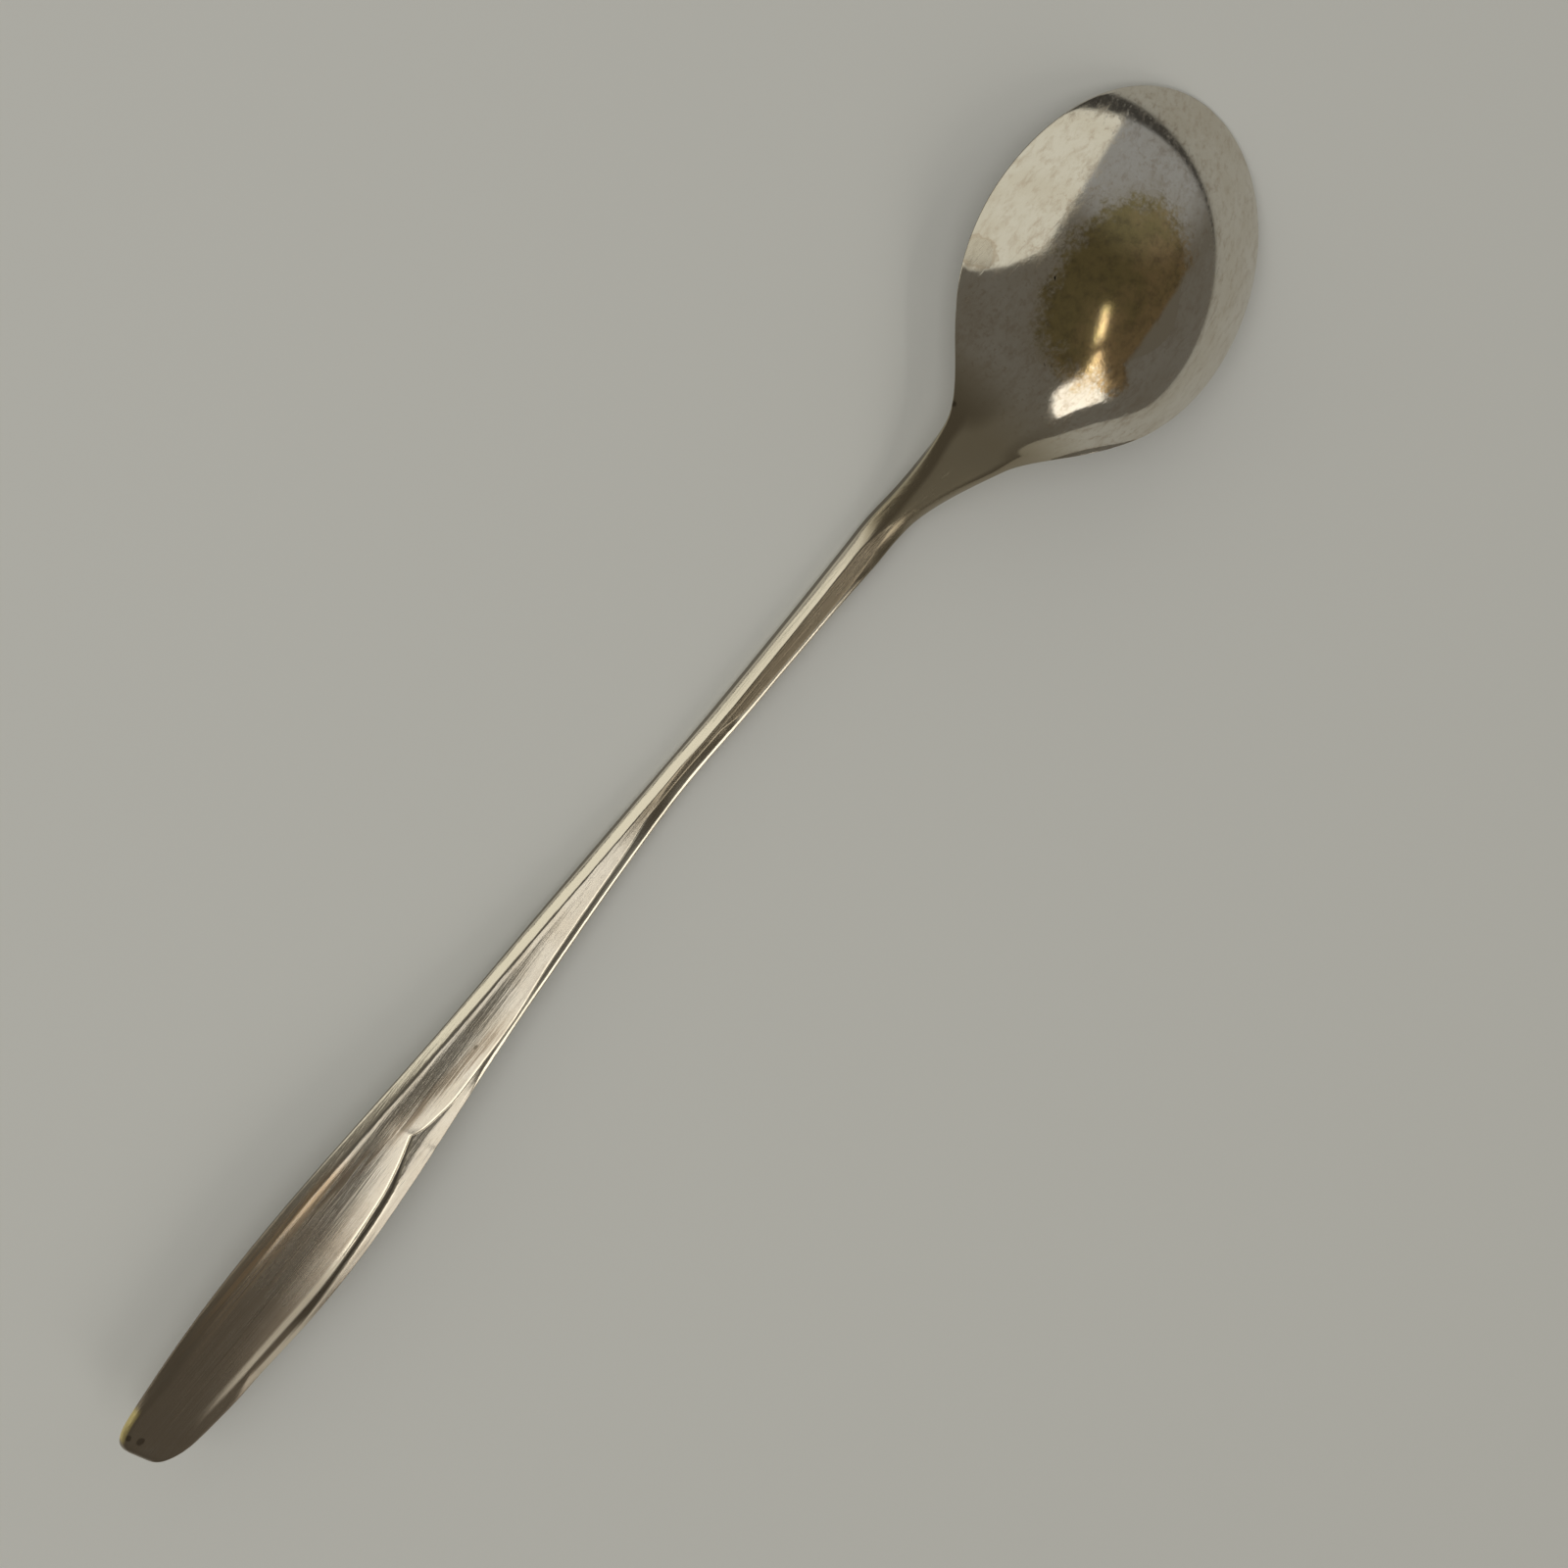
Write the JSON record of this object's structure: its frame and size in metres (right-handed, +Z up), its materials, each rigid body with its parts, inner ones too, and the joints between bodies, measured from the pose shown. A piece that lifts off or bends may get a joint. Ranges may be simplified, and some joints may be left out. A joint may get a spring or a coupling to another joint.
{
  "type": "iced tea spoon",
  "caption": "Long-handled iced tea spoon lying face down: small oval bowl, slim stem and flat curled handle in plated brass, worn through on the back of the bowl.",
  "frame": {"origin": "centre of the spoon's bounding box in plan, at the table it lies on", "axes": "+X from the end of the handle to the tip of the bowl, +Y to the left of it, +Z up from the table, with the back of the bowl on top"},
  "size_m": [0.1868, 0.031, 0.014],
  "materials": {
    "brass": "aged, satin, brown where the plate has worn off",
    "silver": "worn polished silver plate with brown tarnish and fine scratches"
  },
  "bodies": {
    "root": {"brass_blank": "brass", "silver_plate": "silver"}
  },
  "joints": []
}
